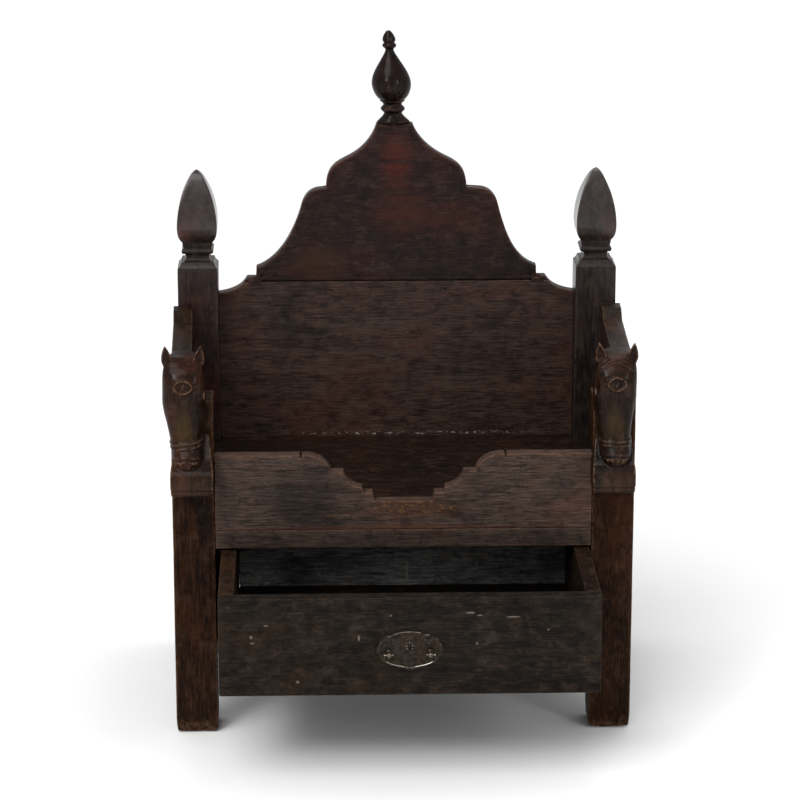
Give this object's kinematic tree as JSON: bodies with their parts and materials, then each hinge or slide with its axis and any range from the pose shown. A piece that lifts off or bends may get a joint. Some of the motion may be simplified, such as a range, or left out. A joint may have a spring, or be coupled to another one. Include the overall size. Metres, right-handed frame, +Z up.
{
  "type": "throne",
  "caption": "Low wooden throne with a lobed high back and finial, posts with carved buds, arms ending in horse heads, a notched apron and a pull-out drawer under the seat.",
  "frame": {"origin": "on the floor under the middle of the whole throne's box, with the drawer pulled out as at rest", "axes": "+Z up, -Y to the front, where the drawer opens, and +X to the right of someone who looks at the front"},
  "size_m": [0.765, 0.7204, 1.0963],
  "materials": {
    "aged_wood": "dark stained hardwood, worn at the arrises and feet, satin",
    "polished_wood": "dark reddish-brown hardwood, rubbed and polished by hands",
    "grey_wood": "dark hardwood gone grey-brown, matt",
    "dark_brass": "oxidised nearly black, rubbed bright at the edges"
  },
  "bodies": {
    "frame": {"front_leg_left": "aged_wood", "front_leg_right": "aged_wood", "back_post_left": "aged_wood", "back_post_right": "aged_wood", "back_panel_upper": "polished_wood", "back_panel_lower": "polished_wood", "crest_finial": "polished_wood", "arm_left": "polished_wood", "arm_right": "polished_wood", "side_panel_left": "aged_wood", "side_panel_right": "aged_wood", "box_side_left": "aged_wood", "box_side_right": "aged_wood", "box_back": "aged_wood", "seat_cleat_left": "aged_wood", "seat_cleat_right": "aged_wood", "drawer_runner_left": "aged_wood", "drawer_runner_right": "aged_wood", "seat_board": "polished_wood", "front_apron": "grey_wood", "front_rail": "grey_wood"},
    "drawer": {"drawer_front": "grey_wood", "drawer_side_left": "aged_wood", "drawer_side_right": "aged_wood", "drawer_back": "aged_wood", "drawer_bottom": "aged_wood", "handle_backplate": "dark_brass", "handle_stud_left": "dark_brass", "handle_stud_right": "dark_brass"},
    "bail": {"handle_bail": "dark_brass"}
  },
  "joints": [
    {"name": "drawer_slide", "type": "slide", "parent": "frame", "child": "drawer", "axis": [0, -1, 0], "range_m": [-0.236, 0.064]},
    {"name": "bail_hinge", "type": "hinge", "parent": "drawer", "child": "bail", "pos_m": [0.0025, -0.3557, 0.2272], "axis": [-1, 0, 0], "range_deg": [-25, 150]}
  ]
}
